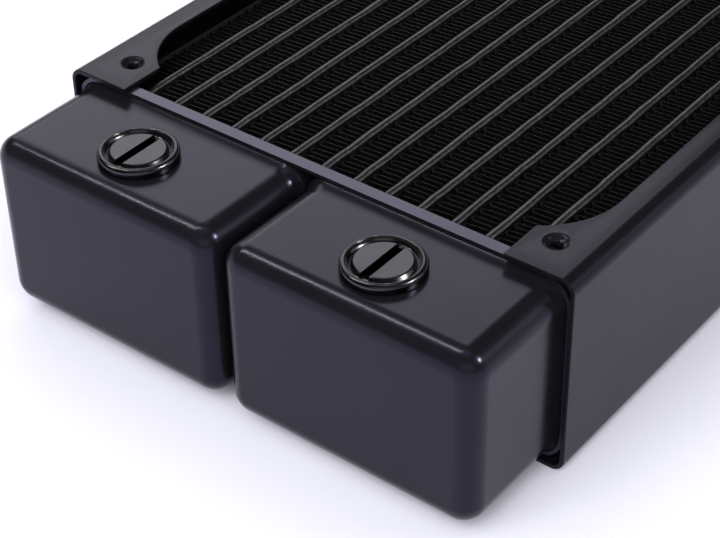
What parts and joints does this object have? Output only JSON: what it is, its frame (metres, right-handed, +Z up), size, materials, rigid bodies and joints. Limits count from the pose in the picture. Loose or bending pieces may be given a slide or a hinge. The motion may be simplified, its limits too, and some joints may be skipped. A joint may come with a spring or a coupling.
{
  "type": "liquid cooling radiator",
  "caption": "Thick black water-cooling radiator with flat tubes, folded fins, side plates with fan screw holes, split end tanks and slotted screw plugs.",
  "frame": {"origin": "on the ground under the middle of the whole radiator", "axes": "+Y along the radiator from the end with the ports to the return tank, +X across it, +Z up from the underside to the face with the plugs"},
  "size_m": [0.124, 0.279, 0.0455],
  "materials": {
    "plate_paint": "satin black powder coat over bent steel sheet",
    "tank_paint": "satin black powder coat over drawn brass",
    "tube_paint": "thin sprayed black paint over brass tube",
    "fin_paint": "thin sprayed black paint over copper foil",
    "port_brass": "turned, bare inside the thread",
    "plug_nickel": "black nickel plate, glossy",
    "seal_rubber": "matt nitrile rubber"
  },
  "bodies": {
    "radiator": {"side_plate_left": "plate_paint", "side_plate_right": "plate_paint", "header_tray_front": "tank_paint", "header_tray_rear": "tank_paint", "tank_left": "tank_paint", "tank_right": "tank_paint", "tank_return": "tank_paint", "tube_01": "tube_paint", "tube_02": "tube_paint", "tube_03": "tube_paint", "tube_04": "tube_paint", "tube_05": "tube_paint", "tube_06": "tube_paint", "tube_07": "tube_paint", "tube_08": "tube_paint", "tube_09": "tube_paint", "tube_10": "tube_paint", "tube_11": "tube_paint", "tube_12": "tube_paint", "tube_13": "tube_paint", "core_side_left": "tube_paint", "core_side_right": "tube_paint", "fin_pack_01": "fin_paint", "fin_pack_02": "fin_paint", "fin_pack_03": "fin_paint", "fin_pack_04": "fin_paint", "fin_pack_05": "fin_paint", "fin_pack_06": "fin_paint", "fin_pack_07": "fin_paint", "fin_pack_08": "fin_paint", "fin_pack_09": "fin_paint", "fin_pack_10": "fin_paint", "fin_pack_11": "fin_paint", "fin_pack_12": "fin_paint", "fin_pack_13": "fin_paint", "fin_pack_14": "fin_paint", "port_bush_left_top": "port_brass", "port_bush_left_bottom": "port_brass", "port_bush_right_top": "port_brass", "port_bush_right_bottom": "port_brass"},
    "left_seal": {"plug_seal_left": "seal_rubber"},
    "left_plug": {"plug_left": "plug_nickel"},
    "right_seal": {"plug_seal_right": "seal_rubber"},
    "right_plug": {"plug_right": "plug_nickel"}
  },
  "joints": [
    {"name": "left_plug_lift", "type": "slide", "parent": "radiator", "child": "left_seal", "axis": [0, 0, 1], "range_m": [0, 0.0052]},
    {"name": "left_plug_turn", "type": "hinge", "parent": "left_seal", "child": "left_plug", "pos_m": [-0.0301, -0.1265, 0.0428], "axis": [0, 0, 1], "range_deg": [0, 1350]},
    {"name": "right_plug_lift", "type": "slide", "parent": "radiator", "child": "right_seal", "axis": [0, 0, 1], "range_m": [0, 0.0052]},
    {"name": "right_plug_turn", "type": "hinge", "parent": "right_seal", "child": "right_plug", "pos_m": [0.0301, -0.1265, 0.0428], "axis": [0, 0, 1], "range_deg": [0, 1350]}
  ],
  "couplings": [
    {"joint": "left_plug_lift", "follows": "left_plug_turn", "m_per_rad": 0.00021279},
    {"joint": "right_plug_lift", "follows": "right_plug_turn", "m_per_rad": 0.00021279}
  ]
}
